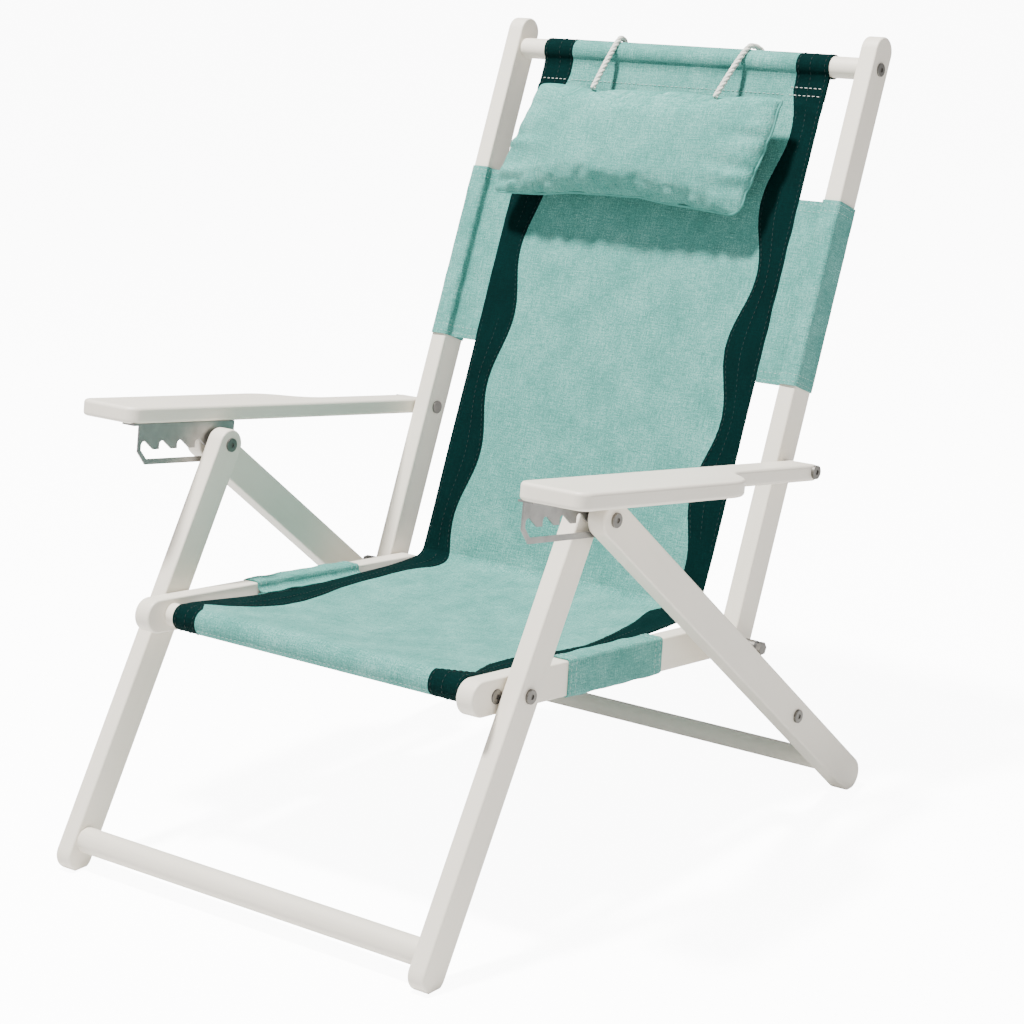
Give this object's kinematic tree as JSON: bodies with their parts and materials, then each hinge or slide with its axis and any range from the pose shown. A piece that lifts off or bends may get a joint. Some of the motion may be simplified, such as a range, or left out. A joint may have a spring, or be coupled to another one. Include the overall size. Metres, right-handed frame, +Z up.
{
  "type": "folding beach chair",
  "caption": "Folding, reclining beach chair with a painted wooden frame, wide arms on steel racks, a canvas sling and a tied pillow.",
  "frame": {"origin": "middle of the chair's outline on the floor, between its feet, with the cords left out", "axes": "+Z up; the chair faces -Y, so its back leans towards +Y; X runs across it, with the _right pieces at +X"},
  "size_m": [0.684, 0.8256, 0.8404],
  "materials": {
    "painted_board": "off-white paint, satin",
    "painted_dowel": "off-white paint, satin",
    "bolt_steel": "satin",
    "rack_steel": "satin",
    "hinge_barrel": "satin",
    "hinge_ring": "matte",
    "sling_canvas": "woven, matte",
    "pillow_canvas": "woven, matte",
    "cord": "twisted"
  },
  "bodies": {
    "seat": {"seat_rail_left": "painted_board", "seat_rail_right": "painted_board", "seat_front_dowel": "painted_dowel", "nose_bolts": "bolt_steel", "front_pivot_bolts": "bolt_steel", "front_pivot_washers": "bolt_steel", "seat_sling": "sling_canvas", "seat_sleeve_left": "sling_canvas", "seat_sleeve_right": "sling_canvas"},
    "front_legs": {"front_leg_left": "painted_board", "front_leg_right": "painted_board", "front_stretcher": "painted_dowel", "front_rack_pins": "bolt_steel", "front_rack_spacers": "bolt_steel"},
    "rear_legs": {"rear_leg_left": "painted_board", "rear_leg_right": "painted_board", "rear_stretcher": "painted_dowel", "rear_rack_pins": "bolt_steel", "rear_rack_spacers": "bolt_steel", "lower_bolts": "bolt_steel", "lower_bushes": "bolt_steel"},
    "back_hinge": {"back_hinge_bolts": "bolt_steel", "back_hinge_washers": "bolt_steel", "back_hinge_barrels": "hinge_barrel", "back_hinge_rings": "hinge_ring", "sling_crease": "sling_canvas"},
    "back": {"back_rail_left": "painted_board", "back_rail_right": "painted_board", "back_top_dowel": "painted_dowel", "top_bolts": "bolt_steel", "back_sling": "sling_canvas", "back_flap_left": "sling_canvas", "back_flap_right": "sling_canvas", "pillow": "pillow_canvas", "pillow_cord_left": "cord", "pillow_cord_right": "cord", "cord_knot_left": "cord", "cord_knot_right": "cord"},
    "arm_hinge": {"arm_bolts": "bolt_steel", "arm_washers": "bolt_steel"},
    "arms": {"arm_left": "painted_board", "arm_right": "painted_board", "rack_left": "rack_steel", "rack_right": "rack_steel", "rack_screws": "bolt_steel"}
  },
  "joints": [
    {"name": "fold", "type": "hinge", "parent": "seat", "child": "front_legs", "pos_m": [0, -0.2408, 0.2552], "axis": [1, 0, 0], "range_deg": [0, 96]},
    {"name": "rear_leg_swing", "type": "hinge", "parent": "front_legs", "child": "rear_legs", "pos_m": [0, -0.1424, 0.4154], "axis": [1, 0, 0], "range_deg": [-88, 0]},
    {"name": "back_fold", "type": "hinge", "parent": "seat", "child": "back_hinge", "pos_m": [0, 0.1256, 0.2146], "axis": [1, 0, 0], "range_deg": [0, 96.5], "deforming": ["sling_crease"]},
    {"name": "recline", "type": "hinge", "parent": "back_hinge", "child": "back", "pos_m": [0, 0.1256, 0.2146], "axis": [1, 0, 0], "range_deg": [-38.5, 0]},
    {"name": "arm_fold", "type": "hinge", "parent": "back", "child": "arm_hinge", "pos_m": [0, 0.2037, 0.3953], "axis": [1, 0, 0], "range_deg": [-104.2, 0]},
    {"name": "arm_level", "type": "hinge", "parent": "arm_hinge", "child": "arms", "pos_m": [0, 0.2037, 0.3953], "axis": [1, 0, 0], "range_deg": [0, 29.8]}
  ],
  "couplings": [
    {"joint": "rear_leg_swing", "follows": "fold", "ratio": -0.91},
    {"joint": "back_fold", "follows": "fold", "ratio": 1},
    {"joint": "arm_fold", "follows": "fold", "ratio": -1.08},
    {"joint": "arm_level", "follows": "recline", "ratio": -0.764}
  ]
}
